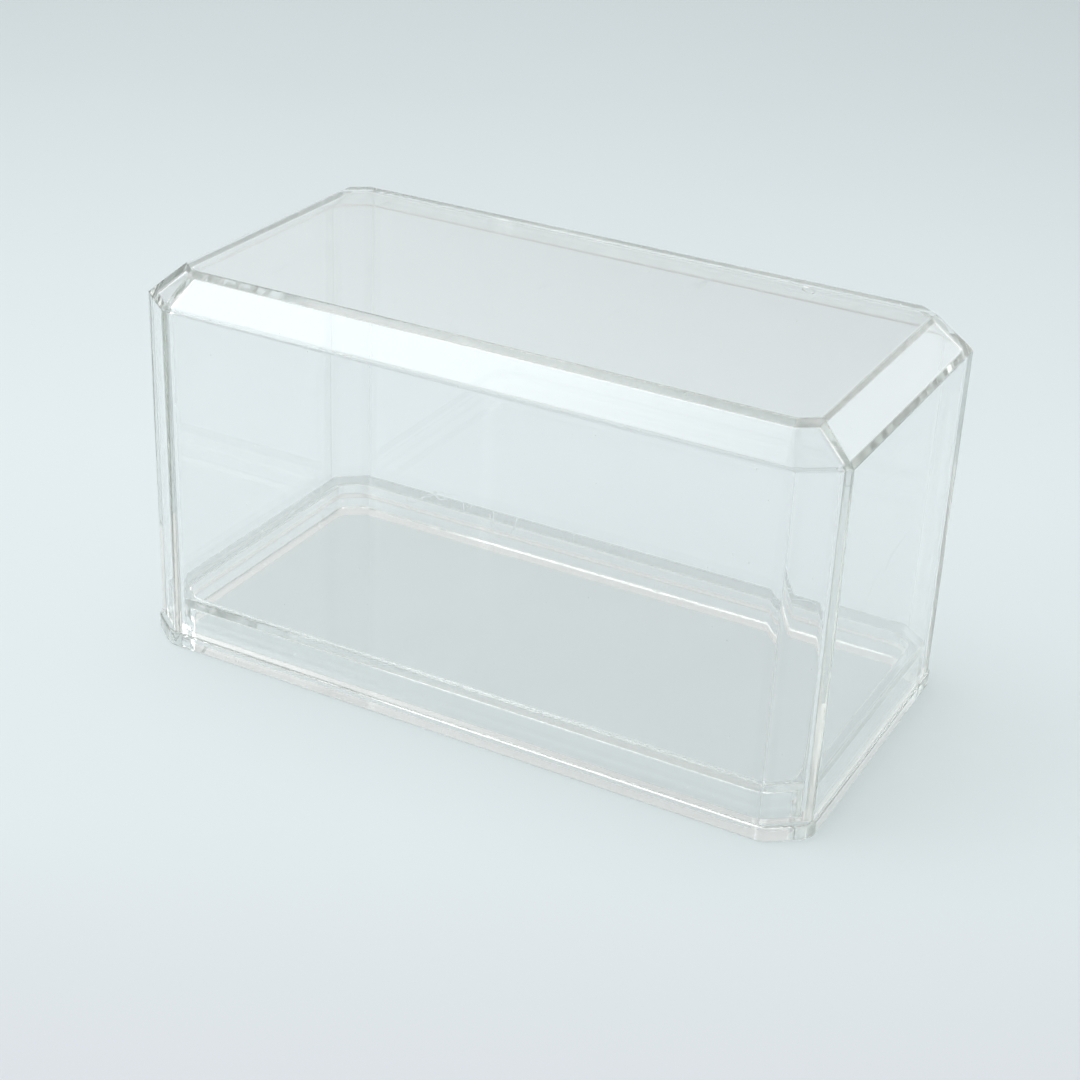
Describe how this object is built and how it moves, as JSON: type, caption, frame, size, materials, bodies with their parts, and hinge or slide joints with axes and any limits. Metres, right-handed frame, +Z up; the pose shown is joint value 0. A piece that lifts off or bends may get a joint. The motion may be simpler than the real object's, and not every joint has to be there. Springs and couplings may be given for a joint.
{
  "type": "display case",
  "caption": "Clear moulded display case for a small model car: an octagonal cover with a bevelled top lifts straight off a hollow base whose raised plinth plugs into it",
  "frame": {"origin": "on the surface that the case stands on, under the middle of the base", "axes": "+X along the case's length, +Y across it towards the back, +Z up, the way that the cover lifts off"},
  "size_m": [0.1028, 0.0534, 0.0562],
  "materials": {
    "clear_base": "clear polystyrene, polished, with cutter marks along the front of the flange",
    "clear_cover": "clear polystyrene, polished"
  },
  "bodies": {
    "base": {"base": "clear_base"},
    "cover": {"cover": "clear_cover"}
  },
  "joints": [
    {"name": "cover_lift", "type": "slide", "parent": "base", "child": "cover", "axis": [0, 0, 1], "range_m": [0, 0.06]}
  ]
}
